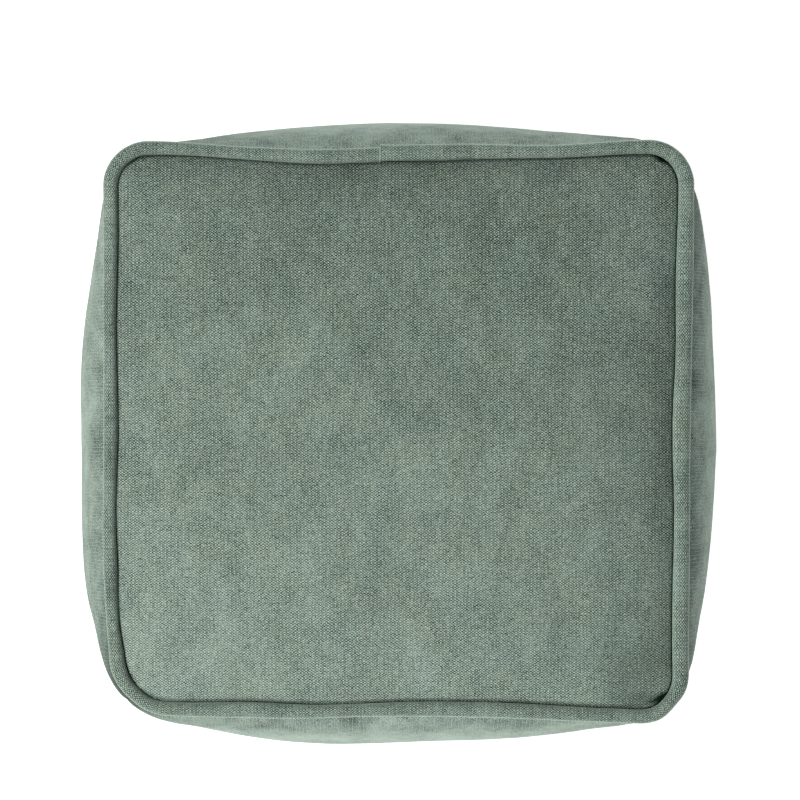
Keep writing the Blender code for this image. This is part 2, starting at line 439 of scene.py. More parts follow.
# %% [markdown]
# ## The velvet
# The cloth is a soft, flat-woven velvet: thick fuzzy threads over and under each other, so close that
# from a step away they read as a fine checkerboard of light crowns and dark gaps. The threads wander, so
# the checks line up now one way and now the other, and no two crowns are equally bright. The pile also
# lies in soft patches. A photograph of cloth could be laid on, but here two sine waves multiplied
# together make the checks, and noise bends them. The waves are read from a UV map in metres, so that the
# weave has the same size on every piece and follows the strip round the cord. Shade and light are also
# painted into the colour: each piece marks its points with painted shade, darkest in its seams and
# creases, and with painted highlight, under 0, along the edges and sides that face the light.

# %% Colours and weave of the velvet
WARP_REPEAT = 0.00272  # two threads side by side, across the width of the cloth
WEFT_REPEAT = 0.00193  # two threads, along its length
GAP_GREEN = (0.001, 0.018, 0.008, 1.0)  # down between the threads
COOL_GREEN = (0.535, 0.680, 0.606, 1.0)  # on top of a thread, which the dye took a little unevenly
WARM_GREEN = (0.555, 0.680, 0.574, 1.0)
CHECK_FIRMNESS = 2.2  # over 1, the checks have firmer edges
# What shows besides the checks: single warp and weft threads, and the ribs that the warp makes.
WARP_SHADE, WEFT_SHADE, RIB_SHADE = 0.16, 0.21, 0.45
CHECKS_MIDDLE = 0.22  # what these add on average
# How much lighter a thread is than the gap beside it, and how much crowns and tufts differ.
THREAD_SHADE, CROWN_SHADE, TUFT_SHADE = 0.42, 0.15, 0.42
TUFT = 0.0005  # width of one tuft of the pile
THREAD_HEIGHT = 0.00025  # of the crowns over the gaps
# Painted highlight: how much lighter the colour is made where the mark below is under 0.
PAINTED_LIGHT = 0.4  # how much lighter a fuzzy edge is
FUZZ_TINT = (0.76, 0.93, 0.82, 1.0)  # of the light that the fuzz throws back
CLOTH_MAP = "cloth"
# The mark below carries painted shade and light: at 1 the colour is as dark as the gap green, at 0 it is left
# as it is, and under 0 it gets a painted highlight.
PAINTED_SHADE_MARK = "painted_shading"  # 1 deep in a seam, 0 on open cloth, under 0 where a fuzzy edge stands up

# The threads wander in long bends and in short ones.
Bend = namedtuple("Bend", "per_metre detail shift")
BENDS = Bend(40.0, 2.0, 0.0026), Bend(480.0, 1.0, 0.0011)
# The pile is uneven in several ways. Packed over 1 sets its lumps closer across or along the cloth.
Lumps = namedtuple("Lumps", "per_metre detail packed strength")
UPRIGHT = Lumps(60.0, 2.0, (12.0, 1.0, 1.0), 0.28)
LEVEL = Lumps(60.0, 2.0, (1.0, 14.0, 1.0), 0.22)
PATCHES = Lumps(30.0, 3.0, (1.3, 0.8, 1.0), 0.30)
FLECKS = Lumps(90.0, 2.0, (1.4, 0.8, 1.0), 0.14)
SWEEPS = Lumps(11.0, 1.0, (1.0, 1.0, 1.0), 0.22)
DYE = Lumps(28.0, 2.0, (1.0, 1.0, 1.0), 2.4)
print("threads to a centimetre:", round(0.02 / WARP_REPEAT, 1), "by", round(0.02 / WEFT_REPEAT, 1))


# %% Weave and pile as shader nodes
def unevenness(tree, cloth, lumps):
    """Noise from about -0.5 to 0.5 with lumps of one kind."""
    placed = add_node(tree, "ShaderNodeMapping", {"Vector": cloth, "Scale": lumps.packed}).outputs[0]
    inputs = {"Vector": placed, "Scale": lumps.per_metre, "Detail": lumps.detail}
    wool = add_node(tree, "ShaderNodeTexNoise", inputs)
    return calc(tree, "SUBTRACT", wool.outputs[0], 0.5)


def bent_threads(tree, cloth):
    """Where a point lies across the cloth and along it, once its threads wander."""
    place = add_node(tree, "ShaderNodeSeparateXYZ", {0: cloth}).outputs
    bent = [place[0], place[1]]
    for bend in BENDS:
        inputs = {"Vector": cloth, "Scale": bend.per_metre, "Detail": bend.detail}
        noise_colour = add_node(tree, "ShaderNodeTexNoise", inputs).outputs["Color"]
        moved = add_node(tree, "ShaderNodeSeparateXYZ", {0: noise_colour}).outputs
        bent = [calc(tree, "MULTIPLY_ADD", moved[axis], bend.shift, bent[axis]) for axis in (0, 1)]
    return bent


def weave_checks(tree, cloth):
    """Light and dark of the weave, from about -1 to 1, and how bright each thread crown is."""
    waves, threads = [], []
    for bent, repeat in zip(bent_threads(tree, cloth), (WARP_REPEAT, WEFT_REPEAT)):
        waves.append(calc(tree, "SINE", calc(tree, "MULTIPLY", bent, 2 * math.pi / repeat)))
        threads.append(calc(tree, "FLOOR", calc(tree, "MULTIPLY", bent, 2 / repeat)))
    checks = calc(tree, "TANH", calc(tree, "MULTIPLY", calc(tree, "MULTIPLY", *waves), CHECK_FIRMNESS))
    ribs = calc(tree, "MULTIPLY", waves[0], waves[0])
    for part, strength in ((waves[0], WARP_SHADE), (waves[1], WEFT_SHADE), (ribs, RIB_SHADE)):
        checks = calc(tree, "MULTIPLY_ADD", part, strength, checks)
    crown = add_node(tree, "ShaderNodeCombineXYZ", {0: threads[0], 1: threads[1]}).outputs[0]
    uneven = add_node(tree, "ShaderNodeTexWhiteNoise", {"Vector": crown}).outputs["Value"]
    return calc(tree, "SUBTRACT", checks, CHECKS_MIDDLE), calc(tree, "SUBTRACT", uneven, 0.5)


def fuzz_specks(tree, cloth):
    """A speck for every tuft of the pile, from -0.5 to 0.5."""
    snapped = add_node(tree, "ShaderNodeVectorMath", {0: cloth, 1: (TUFT, TUFT, TUFT)}, operation="SNAP")
    speck = add_node(tree, "ShaderNodeTexWhiteNoise", {"Vector": snapped.outputs[0]}).outputs[0]
    return calc(tree, "SUBTRACT", speck, 0.5)


# %% Make the velvet: plain, crushed, and with a painted light gradient
def make_velvet(name, light=0.37, sheen=0.9, contrast=1.0, mottled=1.0, painted_gradient=(0.0, 0.0)):
    """The cloth as a material. Light and sheen say how pale it is and how much its pile glows from the
    side, contrast how clearly its weave shows, mottled how much its pile was crushed, and the last argument
    how much lighter it gets with each metre across and along the cloth: a painted light gradient."""
    material, tree, shader = new_material(name)
    cloth = add_node(tree, "ShaderNodeUVMap", uv_map=CLOTH_MAP).outputs[0]
    checks, uneven = weave_checks(tree, cloth)
    upright = unevenness(tree, cloth, UPRIGHT)
    parts = [
        (checks, THREAD_SHADE * contrast),
        (uneven, CROWN_SHADE * contrast),
        (fuzz_specks(tree, cloth), TUFT_SHADE * contrast),
        (upright, UPRIGHT.strength),
    ]
    for lumps, share in ((LEVEL, 1.0), (PATCHES, mottled), (FLECKS, mottled), (SWEEPS, 1.0)):
        parts.append((unevenness(tree, cloth, lumps), lumps.strength * share))
    for part, strength in parts:
        light = calc(tree, "MULTIPLY_ADD", part, strength, light)
    # Painted light: the colour gets lighter one way across the cloth and along it, as where lamps light it
    # more.
    if any(painted_gradient):
        place = add_node(tree, "ShaderNodeSeparateXYZ", {0: cloth}).outputs
        for axis in (0, 1):
            light = calc(tree, "MULTIPLY_ADD", place[axis], painted_gradient[axis], light)
    # Painted shade darkens the colour where the mark is over 0, and painted light brightens it where it is
    # under 0.
    painted_shading = add_node(tree, "ShaderNodeAttribute", attribute_name=PAINTED_SHADE_MARK).outputs["Fac"]
    kept = calc(tree, "SUBTRACT", 1.0, calc(tree, "MAXIMUM", painted_shading, 0.0))
    light = calc(tree, "MULTIPLY", light, kept)
    light = calc(tree, "MULTIPLY_ADD", calc(tree, "MINIMUM", painted_shading, 0.0), -PAINTED_LIGHT, light)
    dye = calc(tree, "MULTIPLY_ADD", unevenness(tree, cloth, DYE), DYE.strength, 0.5)
    crown = add_node(tree, "ShaderNodeMix", {0: dye, 6: COOL_GREEN, 7: WARM_GREEN}, data_type="RGBA")
    greens = {0: light, 6: GAP_GREEN, 7: crown.outputs[2]}
    colour = add_node(tree, "ShaderNodeMix", greens, data_type="RGBA")
    height = calc(tree, "MULTIPLY_ADD", upright, 0.5, checks)
    bump = add_node(tree, "ShaderNodeBump", {"Height": height, "Strength": 0.5, "Distance": THREAD_HEIGHT})
    fill_in(shader, {"Base Color": colour.outputs[2], "Normal": bump.outputs[0]})
    fill_in(shader, {"Roughness": 0.95, "Specular IOR Level": 0.15})
    fill_in(shader, {"Sheen Weight": sheen, "Sheen Roughness": 0.27, "Sheen Tint": FUZZ_TINT})
    return material


velvet = make_velvet("velvet", contrast=0.8)
crushed_velvet = make_velvet("crushed_velvet", light=0.47, sheen=0.12, contrast=1.4, mottled=3.4)
# The top's velvet gets a painted light gradient: lighter towards the left and the front, where the lamps
# stand.
velvet_with_painted_gradient = make_velvet("velvet_with_painted_gradient", painted_gradient=(-0.08, -0.44))
print("the velvet has", len(velvet.node_tree.nodes), "nodes")


# %% Helpers that turn a cage into a piece
def move_points(cage, places):
    for point, place in zip(cage.verts, places):
        point.co = place


def finish_piece(name, cage, material):
    """Puts the cage into the scene as a smooth object of that cloth."""
    mesh = bpy.data.meshes.new(name)
    cage.to_mesh(mesh)
    cage.free()
    mesh.shade_smooth()
    piece = add_object(name, mesh)
    mesh.materials.append(material)
    print(name, "has", len(mesh.polygons), "faces")
    return piece


def mark_painted_shade(cage, depths):
    """Notes on each point of the cage how much painted shade it gets, and under 0 how much painted light."""
    mark = cage.verts.layers.float.new(PAINTED_SHADE_MARK)
    for point, depth in zip(cage.verts, depths):
        point[mark] = depth


def add_thickness(piece, offset):
    thickness = piece.modifiers.new("thickness", "SOLIDIFY")
    thickness.thickness = CLOTH
    thickness.offset = offset


# %% [markdown]
# ## The stuffed body
# On the real pouf the four side panels are sewn to each other down the corners and filled with loose
# stuffing. The filling swells each side, the thread holds the corners back, and the cloth between them
# is a little lumpy. A cube from Blender's own tools is cut into a fine grid, and each of its points is
# moved to its place on the pouf. The grid is finest at the seams, where the cloth turns most sharply.

# %% Sizes of the stuffed body
SEAM_TUCK = 0.0010  # the body clears the cord by this much in the seam behind it
SEAT = (PIPING_RADIUS + SEAM_TUCK) * math.sqrt(0.5)  # the body's edge lies this far in and down
CORD_ROOM = 0.0005  # the side cloth lies this close to the cord
SEAM_DEPTH = 0.0009  # how deep the thread pulls a corner seam in
SEAM_WIDTH = 0.012  # over this far on each side of it
LUMP = 0.0016  # unevenness of the filling
LUMP_SIZE = 0.085  # width of one lump
# Each kind of lump has its own place in Blender's noise.
SIDE_SEED, TOP_SEED, PUCKER_SEED, DENT_SEED = 3, 7, 11, 17
print("the body's edge lies", round(SEAT, 4), "m in from the middle of the cord, and as much under it")


# %% Where a point of a side goes
def side_line(x, y, up):
    """The outside of the filled sides in plan, with up from 0 at the base seam to 1 at the rim."""
    softer = CORNER_SOFTNESS * np.sin(np.pi * up)
    settled = up ** SETTLE
    swell = (4 * settled * (1 - settled)) ** FULLNESS * at_sides(x, y, SIDES, "swell")
    low = base_line(x, y, swell, softer)
    return low + (rim_line(x, y, swell, softer) - low) * up[:, None]


def seam_groove(distance, depth, width):
    """How deep a sewn line lies under the cloth beside it: a sharp line between two round shoulders."""
    near = 1 - np.clip(distance / width, 0, 1)
    return depth * (1 - np.sqrt(1 - near ** 2 + 1e-12))


def clear_of_cord(x, y, plan, z, out):
    """Moves points that would be inside the cord straight out of it."""
    middle = rim_line(x, y)
    across = ((plan - middle) * out).sum(axis=1)
    above = z - rim_height(x, y)
    distance = np.hypot(across, above)
    share = np.maximum((PIPING_RADIUS + CORD_ROOM) / np.maximum(distance, 1e-6), 1.0)
    return plan + out * (across * (share - 1))[:, None], z + above * (share - 1)


def on_sides(x, y, up, ripple):
    """Places on the swollen sides."""
    head = rim_height(x, y) - SEAT
    z = SIDE_FOOT + up * (head - SIDE_FOOT)
    plan = side_line(x, y, up)
    _, out = outline(x, y, RIM_CORNERS)
    between_seams = np.sin(np.pi * up) ** 0.5
    lumps = soft_noise(np.column_stack((plan, z)), LUMP_SIZE, SIDE_SEED) * LUMP
    push = (lumps + ripple) * between_seams - seam_groove(from_corner(x, y), SEAM_DEPTH, SEAM_WIDTH)
    plan, z = clear_of_cord(x, y, plan + out * push[:, None], z, out)
    return np.column_stack((plan, z))


half_way_up = np.array([0.5])
print("half-way up, the right side is", side_line(*middle_of_right, half_way_up).round(4)[0, 0], "m out")

# %% [markdown]
# ## Painted shade on the sides
# Shade and light are painted into the cloth of the sides: darker beside the cord, paler further out,
# darker or paler towards some corners. A picture could be painted for this. A few rows say it more
# plainly, and each point of the body is marked with their sum.

# %% How much shade is painted on the sides
# Painted shade on the cloth of each side, beside the cord and further out. Under 0 it is painted light.
SideShade = namedtuple("SideShade", "beside beyond")
SIDE_SHADES = {
    "left": SideShade(beside=0.00, beyond=-0.90),
    "right": SideShade(beside=0.38, beyond=-1.12),
    "front": SideShade(beside=0.03, beyond=-1.50),
    "back": SideShade(beside=-0.65, beyond=-1.60),
}
BESIDE, BESIDE_DOWN = 0.006, 0.050  # how far out and down the one reaches
BEYOND, BEYOND_DOWN = 0.022, 0.300  # and the other
PALEST, DARKEST = -1.6, 0.78  # limits of what these and the corners below add up to
# Painted shade where the body shows under the top's edge, and down each corner seam.
UNDER_TOP = 1.0  # how dark it is where it can be glimpsed under the top's edge
CORNER_SHADE, CORNER_SHADE_WIDTH = 0.5, 0.0018  # down a corner seam
# Painted shade towards some corners: side, which end, how dark (under 0 painted light), how far along
# the side and how far down it.
EndShade = namedtuple("EndShade", "side end shade reach down")
PAINTED_END_SHADES = (
    EndShade("left", -1, 0.50, 0.088, 0.280),
    EndShade("left", -1, 0.55, 0.040, 0.085),
    EndShade("left", 1, -0.60, 0.095, 0.280),
    EndShade("front", -1, 0.40, 0.028, 0.280),
    EndShade("front", -1, 0.60, 0.028, 0.085),
    EndShade("front", 1, -0.50, 0.090, 0.280),
    EndShade("right", 1, 0.70, 0.085, 0.280),
    EndShade("right", -1, 0.38, 0.075, 0.280),
    EndShade("back", 1, 0.90, 0.045, 0.280),
    EndShade("back", 1, -0.30, 0.130, 0.280),
    EndShade("back", -1, 0.25, 0.075, 0.280),
)
print(len(PAINTED_END_SHADES), "dusky or pale places")


# %% Painted shade at points of the body
def shade_of_side(side, along, beyond, down):
    """Painted shade on the cloth of one side: beside the cord, further out, and towards the corners; under 0
    painted light.
    """
    beside = SIDE_SHADES[side].beside * np.exp(-beyond / BESIDE - down / BESIDE_DOWN)
    outer = SIDE_SHADES[side].beyond * np.clip(beyond / BEYOND, 0, 1) ** 2 * bell(down, BEYOND_DOWN)
    near_ends = sum(
        end_shade.shade * bell((1 - end_shade.end * along) * HALF, end_shade.reach) * bell(down, end_shade.down)
        for end_shade in PAINTED_END_SHADES
        if end_shade.side == side
    )
    return beside + outer + near_ends


def painted_shade_on_body(cube, placed):
    """Painted shade at points of the body: under the cord, down the four corners, and under the top's edge.
    """
    _, x, y = to_edge(cube[:, 0], cube[:, 1])
    _, out = outline(x, y, RIM_CORNERS)
    beyond = np.clip(((placed[:, :2] - rim_line(x, y)) * out).sum(axis=1) - PIPING_RADIUS, 0, None)
    down = RIM_HEIGHT - placed[:, 2]
    on_side = blend_sides(x, y, lambda side, along: shade_of_side(side, along, beyond, down))
    in_corner = CORNER_SHADE * bell(from_corner(x, y), CORNER_SHADE_WIDTH)
    on_side = np.minimum(np.clip(on_side, PALEST, DARKEST) + in_corner, 1.0)
    return np.where(cube[:, 2] == 1, UNDER_TOP, on_side)


print("beside the cord, the right side is dark by", shade_of_side("right", np.zeros(1), 0, 0).round(2)[0])

# %% [markdown]
# ## The top
# The top panel is stretched over the filling, so it is nearly smooth, with a low crown. At its edge it
# dives into the seam beside the piping. A quarter of an ellipse gives that edge: it comes out of the
# seam straight up and then leans over to the flat, which leaves a thin dark line along the piping, made
# darker with painted shade. At the front right corner the seam was pulled tight, and the cloth sinks
# there in a short fold, which also gets painted shade.

# %% Sizes of the top panel
TOP_INSET = PIPING_RADIUS + 0.0004  # from the piping's middle line to the top panel's edge
EDGE_DROP = 0.0030  # the panel's edge lies this much lower than the piping's middle
TOP_LUMP = 0.0009  # unevenness of the filling under the top
PUCKER = 0.0004  # height of the small puckers that the seam pulls into the cloth
PUCKER_SIZE = 0.008  # width of one pucker
PUCKER_LONG = 4.0  # how much longer than wide they are
PUCKER_REACH = 0.012  # how far from the seam they fade
RIM_FALLS = 8  # over 1, the sag of the top edge stays near the edge
GRID_TURNS = 5  # over 1, the threads run straight until they are near the edge
# The lapped ends of the piping strip: one end stands a little outwards, then fades into the side.
JOIN_X = -0.014
JOIN_STEP = 0.0013
JOIN_FADE = 0.060
TOP_FOLLOWS_JOIN = 0.3  # share of that step by which the top's edge follows
print("the top's edge lies", round(TOP_INSET, 4), "m in from the middle of the cord")

# %% Uneven places of the seam and the top
# Where the sewing wandered: push moves the cord outwards, gape moves the top's edge away from it.
Kink = namedtuple("Kink", "x y reach push gape")
KINKS = (
    Kink(0.2050, -0.2040, 0.0090, -0.0018, 0.0000),
    Kink(0.2037, -0.2050, 0.0050, 0.0000, 0.0025),
    Kink(0.2022, 0.2105, 0.0048, 0.0000, 0.0020),
    Kink(-0.2150, 0.0900, 0.0200, 0.0004, 0.0000),
    Kink(-0.1980, -0.2000, 0.0190, -0.0009, 0.0000),
)
# Short folds and dents of the top: where they lie, which way they run, in degrees, their length, width
# and depth, and how much painted shade they get.
Dip = namedtuple("Dip", "x y turned long wide depth shade")
DIPS = (
    Dip(0.1870, -0.2005, 0, 0.0170, 0.0045, 0.0026, 0.35),
    Dip(0.1920, -0.2030, 14, 0.0080, 0.0016, 0.0010, 0.40),
    Dip(0.1974, -0.1988, 44, 0.0055, 0.0013, 0.0014, 0.60),
    Dip(0.1990, 0.2050, -24, 0.0045, 0.0010, 0.0010, 0.50),
    Dip(0.1800, -0.1800, 60, 0.0300, 0.0220, 0.0012, 0.26),
)
# Broad patches of painted shade on the top, under 0 painted light: where they lie, how dark, how wide.
ShadePatch = namedtuple("ShadePatch", "x y shade reach")
SHADE_PATCHES = (
    ShadePatch(0.172, 0.000, 0.10, 0.070),
    ShadePatch(0.171, -0.162, 0.13, 0.070),
    ShadePatch(-0.176, -0.164, -0.10, 0.070),
    ShadePatch(0.172, 0.168, -0.07, 0.070),
    ShadePatch(-0.176, 0.168, -0.04, 0.070),
)
# Painted shade on the very edge of the top along each side, and over what distance.
Edge = namedtuple("Edge", "dark reach")
TOP_EDGE_SHADES = {
    "left": Edge(dark=0.82, reach=0.0007),
    "right": Edge(dark=0.15, reach=0.0007),
    "front": Edge(dark=0.85, reach=0.0007),
    "back": Edge(dark=1.00, reach=0.0014),
}
# Round one corner the painted shade of the crease is lighter by this share.
PALER_CREASE_CORNER = ShadePatch(-0.2050, -0.2020, -0.50, 0.080)
TOP_PALEST, TOP_DARKEST = -0.5, 0.97  # limits of what all of these add up to
print(len(KINKS), "kinks,", len(DIPS), "dips and", len(SHADE_PATCHES), "shade_patches")


# %% Shape of the top panel
def join_offset(place):
    """How far outwards the lapped end of the strip lies at places of the ring."""
    past = place[:, 0] - JOIN_X
    lapped = (place[:, 1] > 0) & (past >= 0) & (past < JOIN_FADE)
    return np.where(lapped, JOIN_STEP * (1 - np.clip(past / JOIN_FADE, 0, 1)) ** 2, 0.0)


def kinks(place, column):
    """A column of KINKS at places of the ring."""
    return sum(getattr(kink, column) * spot(place, kink) for kink in KINKS)


def in_dips(plan):
    """For each dip, how far in it places of the top are, from 0 to 1."""
    shares = []
    for dip in DIPS:
        dx, dy = plan[:, 0] - dip.x, plan[:, 1] - dip.y
        cos, sin = math.cos(math.radians(dip.turned)), math.sin(math.radians(dip.turned))
        shares.append(bell(dx * cos + dy * sin, dip.long) * bell(dy * cos - dx * sin, dip.wide))
    return shares


def square_grid(x, y):
    """The places of an even grid of threads, before its edge is bent round the corners."""
    return sum(
        np.outer((1 + sx * x) * (1 + sy * y) / 4, (corner.x - sx * TOP_INSET, corner.y - sy * TOP_INSET))
        for (sx, sy), corner in RIM_CORNERS.items()
    )


def on_top(x, y, ripple, inset=TOP_INSET):
    """Places on the upper face of the top panel."""
    ring, edge_x, edge_y = to_edge(x, y)
    edge = rim_line(edge_x, edge_y)
    inset = inset + seam_shift(edge_x, edge_y) - TOP_FOLLOWS_JOIN * join_offset(edge) + kinks(edge, "gape")
    ringed = rim_line(edge_x, edge_y, -inset) * ring[:, None]
    near_edge = (ring ** GRID_TURNS)[:, None]
    plan = ringed * near_edge + square_grid(x, y) * (1 - near_edge)
    inwards = (1 - ring) * HALF
    lean = 1 - np.clip(inwards / SHOULDER_REACH, 0, 1)
    rise = (SHOULDER + EDGE_DROP) * np.sqrt(1 - lean ** 2) - EDGE_DROP
    crown = (1 - abs(x) ** CROWN_POWER) * (1 - abs(y) ** CROWN_POWER)
    seam = RIM_HEIGHT + (rim_height(edge_x, edge_y) - RIM_HEIGHT) * ring ** RIM_FALLS
    flat = np.column_stack((plan, np.zeros(len(plan))))
    lumps = soft_noise(flat, LUMP_SIZE, TOP_SEED) * TOP_LUMP * np.clip(inwards / SHOULDER_REACH, 0, 1)
    along_seam = np.column_stack((edge, inwards / PUCKER_LONG))
    puckers = soft_noise(along_seam, PUCKER_SIZE, PUCKER_SEED) * PUCKER * np.exp(-inwards / PUCKER_REACH)
    sunk = sum(dip.depth * share for dip, share in zip(DIPS, in_dips(plan)))
    return np.column_stack((plan, seam + rise + CROWN * crown + lumps + puckers + ripple - sunk))


middle_of_top = np.zeros(1), np.zeros(1)
print("the middle of the top is", on_top(*middle_of_top, ripple=0.0).round(4)[0, 2], "m over the floor")


# %% Painted shade at points of the top cover
def pale(place):
    """The share of its painted shade that a crease keeps at some places."""
    return 1 + PALER_CREASE_CORNER.shade * spot(place, PALER_CREASE_CORNER)


def painted_shade_on_top(square, placed):
    """Painted shade at each point of the top cover: on its edge, in its dips and in broad patches, under 0
    painted light.
    """
    ring, edge_x, edge_y = to_edge(square[:, 0], square[:, 1])
    dark, reach = blend_sides(edge_x, edge_y, lambda side, along: np.array(TOP_EDGE_SHADES[side])[:, None])
    edge = dark * bell((1 - ring) * HALF, reach) * pale(placed)
    sunk = sum(dip.shade * share for dip, share in zip(DIPS, in_dips(placed)))
    patch_shades = sum(shade_patch.shade * spot(placed, shade_patch) for shade_patch in SHADE_PATCHES)
    return np.clip(edge + sunk + patch_shades, TOP_PALEST, TOP_DARKEST)


# %% [markdown]
# ## A short cloth simulation
# Loose stuffing makes real cloth ripple near its seams, in a way that is hard to draw. Blender's cloth
# can do it: a coarse copy of the pouf is blown up from inside for twenty frames, with its seams pinned
# and its cloth cut a little too large, so that the surplus gathers in ripples. Its plain swelling would
# spoil the measured outline. So only what is left after a broad blur is kept, as a small height field
# on each face of the cube, and it is added to the fine shapes.

# %% Faces of the cube, and how a field on them is read
# The axis that points out of each face, which way it does, and the two axes that lie in the face.
Face = namedtuple("Face", "axis way across up")
FACES = {
    "right": Face(axis=0, way=1, across=1, up=2),
    "left": Face(axis=0, way=-1, across=1, up=2),
    "back": Face(axis=1, way=1, across=0, up=2),
    "front": Face(axis=1, way=-1, across=0, up=2),
    "top": Face(axis=2, way=1, across=0, up=1),
}
SIM_CELLS = 56  # to a side of each face
print("the cloth is simulated with", len(FACES) * SIM_CELLS ** 2, "cells besides the base")


def read_field(field, across, up):
    """The value of a square field at places from -1 to 1 each way."""
    last = len(field) - 1
    column, row = (np.clip((place + 1) / 2 * last, 0, last - 1e-9) for place in (across, up))
    i, j = column.astype(int), row.astype(int)
    s, t = column - i, row - j
    low = field[i, j] * (1 - s) + field[i + 1, j] * s
    high = field[i, j + 1] * (1 - s) + field[i + 1, j + 1] * s
    return low * (1 - t) + high * t


def ripples_at(cube, fields):
    """The ripple at points of the cube, from the field of the face that each lies on."""
    found = np.zeros(len(cube))
    for name, face in FACES.items():
        on_it = cube[:, face.axis] == face.way
        found[on_it] = read_field(fields[name], cube[on_it, face.across], cube[on_it, face.up])
    return found


# %% Where every point of the cube goes
def under_base(x, y):
    """Places on the underside of the base cover: flat, then lifting towards its seam."""
    ring, edge_x, edge_y = to_edge(x, y)
    plan = base_line(edge_x, edge_y, -BASE_INSET) * ring[:, None]
    lifted = np.clip(ring - BASE_FLAT, 0, None) / (1 - BASE_FLAT)
    return np.column_stack((plan, BASE_LIFT * lifted ** 2))


def on_body(cube, fields):
    """Where points of the cube's surface go on the stuffed body."""
    x, y, z = cube.T
    top, bottom = z == 1, z == -1
    at_rim = top & (np.maximum(abs(x), abs(y)) == 1)
    inner_top, side = top & ~at_rim, ~top & ~bottom
    ripple = ripples_at(cube, fields)
    under = CLOTH + GAP
    placed = np.zeros((len(cube), 3))
    placed[at_rim] = np.column_stack(
        (rim_line(x[at_rim], y[at_rim], -SEAT), rim_height(x[at_rim], y[at_rim]) - SEAT)
    )
    placed[inner_top] = on_top(x[inner_top], y[inner_top], ripple[inner_top], TOP_INSET + under)
    placed[inner_top] -= (0, 0, under)
    placed[bottom] = under_base(x[bottom], y[bottom]) + (0, 0, under)
    placed[side] = on_sides(x[side], y[side], (z[side] + 1) / 2, ripple[side])
    return placed


def points_of(cage):
    """The places of a cage's points as one array."""
    return np.round(np.array([point.co[:] for point in cage.verts], float), 6)


def gridded_cube(cells):
    """A cube from -1 to 1 each way, cut into a grid, and its points."""
    cage = bmesh.new()
    bmesh.ops.create_cube(cage, size=2.0)
    bmesh.ops.subdivide_edges(cage, edges=cage.edges[:], cuts=cells - 1, use_grid_fill=True)
    return cage, points_of(cage)


no_ripples = {name: np.zeros((SIM_CELLS + 1, SIM_CELLS + 1)) for name in FACES}
print("the base stands", round(under_base(*middle_of_right)[0, 2], 4), "m off the floor at its seam")

# %% Blow up the cloth
PRESSURE = 4.0
CUT_TOO_LARGE = 0.03  # share by which the cloth is larger than the pouf
LAST_FRAME = 20


def blown_up(piece, pinned):
    """The points of a piece after its cloth has been blown up, in the order of its mesh."""
    pins = piece.vertex_groups.new(name="seams")
    pins.add([int(i) for i in np.flatnonzero(pinned)], 1.0, "REPLACE")
    cloth = piece.modifiers.new("cloth", "CLOTH").settings
    cloth.quality = 5
    cloth.mass = 0.3
    cloth.tension_stiffness = cloth.compression_stiffness = 20.0
    cloth.shear_stiffness = 8.0
    cloth.bending_stiffness = 0.6
    cloth.air_damping = 2.0
    cloth.vertex_group_mass = pins.name
    cloth.use_pressure = True
    cloth.uniform_pressure_force = PRESSURE
    cloth.shrink_min = -CUT_TOO_LARGE
    cloth.effector_weights.gravity = 0.0
    for frame_number in range(1, LAST_FRAME + 1):
        scene.frame_set(frame_number)
    seen = piece.evaluated_get(bpy.context.evaluated_depsgraph_get()).data
    moved = np.zeros(len(seen.vertices) * 3, np.float32)
    seen.vertices.foreach_get("co", moved)
    scene.frame_set(1)
    return moved.reshape(-1, 3).astype(float)


# %% Keep only its ripples
RIPPLE_LIMIT = 0.004
BLUR_CELLS = 2  # how many cells each way are averaged
BLUR_PASSES = 2
# The share of the ripples that each face keeps: the real top is calmer than the sides.
RIPPLE_SHARE = {"top": 0.25, "right": 0.4, "left": 0.4, "back": 0.4, "front": 0.4}


def blurred(field):
    """The field smoothed over a square of cells, with its edge values carried on outside it."""
    for _ in range(BLUR_PASSES):
        for axis in (0, 1):
            margins = [(0, 0), (0, 0)]
            margins[axis] = (BLUR_CELLS, BLUR_CELLS)
            padded = np.pad(field, margins, "edge")
            shifts = range(2 * BLUR_CELLS + 1)
            field = sum(np.take(padded, np.arange(len(field)) + s, axis=axis) for s in shifts) / len(shifts)
    return field


def simulate_ripples():
    """Small height fields, one for each face, with the ripples of the blown-up cloth."""
    cage, cube = gridded_cube(SIM_CELLS)
    rest = on_body(cube, no_ripples)
    move_points(cage, rest)
    coarse = finish_piece("coarse_pouf", cage, velvet)
    on_seam = (abs(abs(cube) - 1) < 1e-6).sum(axis=1) > 1
    moved = blown_up(coarse, on_seam | (cube[:, 2] == -1))
    bpy.data.objects.remove(coarse, do_unlink=True)
    steps = np.round((cube + 1) / 2 * SIM_CELLS).astype(int)
    fields = {}
    for name, face in FACES.items():
        on_it = cube[:, face.axis] == face.way
        raised = np.zeros((SIM_CELLS + 1, SIM_CELLS + 1))
        raised[steps[on_it, face.across], steps[on_it, face.up]] = face.way * (moved - rest)[on_it, face.axis]
        small = raised - blurred(raised)
        small -= small.mean(axis=0)  # what runs the whole width or height is swell, not ripple
        small -= small.mean(axis=1)[:, None]
        fields[name] = np.clip(small, -RIPPLE_LIMIT, RIPPLE_LIMIT) * RIPPLE_SHARE[name]
        print(name, "ripples by", round(small.min() * 1000, 1), "to", round(small.max() * 1000, 1), "mm")
    return fields


ripple_fields = simulate_ripples()
print("the cloth was", "simulated")

# %% [markdown]
# The fine body is made the same way as the coarse one, with far more cells. Its cloth map is laid
# out side by side: across each side panel and up it, in metres, so that the weave runs upright.

# %% Make the stuffed sides
BODY_CELLS = 84
side_height = RIM_HEIGHT - SIDE_FOOT


